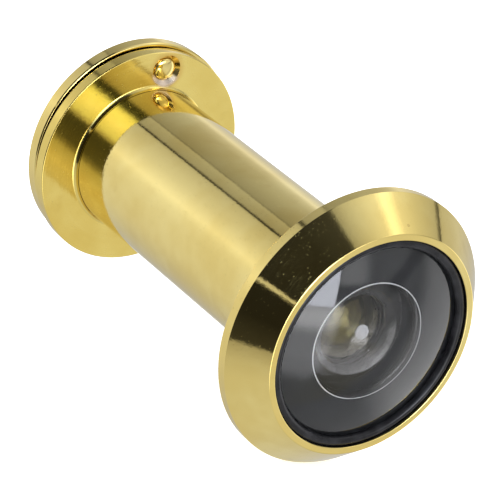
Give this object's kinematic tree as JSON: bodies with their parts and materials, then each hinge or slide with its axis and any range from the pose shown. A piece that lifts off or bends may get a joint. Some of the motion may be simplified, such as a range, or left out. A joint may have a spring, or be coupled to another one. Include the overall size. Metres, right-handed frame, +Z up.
{
  "type": "door viewer",
  "caption": "Brass door viewer: bevelled head with domed wide-angle glass, plain barrel, threaded inner half with a clamping ring and a swinging round privacy cover.",
  "frame": {"origin": "on the barrel's axis, in the plane of the head's flat back that rests on the outside of the door", "axes": "+Y along the barrel from the head to the inner half (indoors), +Z up towards the cover's rivet"},
  "size_m": [0.026, 0.0426, 0.026],
  "materials": {
    "polished_brass": "polished, clear-coated brass plate",
    "turned_brass": "as turned, with a cut thread",
    "steel_washer": "bright",
    "optical_glass": "polished lens glass",
    "black_rubber": "smooth black rubber",
    "black_cell": "matt black"
  },
  "bodies": {
    "outer_half": {"outer_barrel": "polished_brass", "objective_lens": "optical_glass", "objective_seal": "black_rubber", "lens_gasket": "black_rubber", "front_cell": "black_cell", "second_lens": "optical_glass", "middle_spacer": "black_cell", "third_lens": "optical_glass", "lens_retainer": "black_cell"},
    "inner_ring": {"cover_ring": "polished_brass", "cover_rivet": "polished_brass", "pivot_washer": "steel_washer"},
    "eyepiece": {"eyepiece_tube": "turned_brass", "field_stop": "black_cell", "eyepiece_lens": "optical_glass", "eyepiece_retainer": "black_cell"},
    "cover": {"privacy_cover": "polished_brass"}
  },
  "joints": [
    {"name": "thickness_adjust", "type": "slide", "parent": "outer_half", "child": "inner_ring", "axis": [0, 1, 0], "range_m": [0, 0.02]},
    {"name": "eyepiece_turn", "type": "hinge", "parent": "inner_ring", "child": "eyepiece", "pos_m": [0, 0, 0], "axis": [0, 1, 0], "range_deg": [0, 7200]},
    {"name": "cover_swing", "type": "hinge", "parent": "inner_ring", "child": "cover", "pos_m": [0, 0.036, 0.00885], "axis": [0, 1, 0], "continuous": true}
  ],
  "couplings": [
    {"joint": "eyepiece_turn", "follows": "thickness_adjust", "rad_per_m": 6283.2}
  ]
}
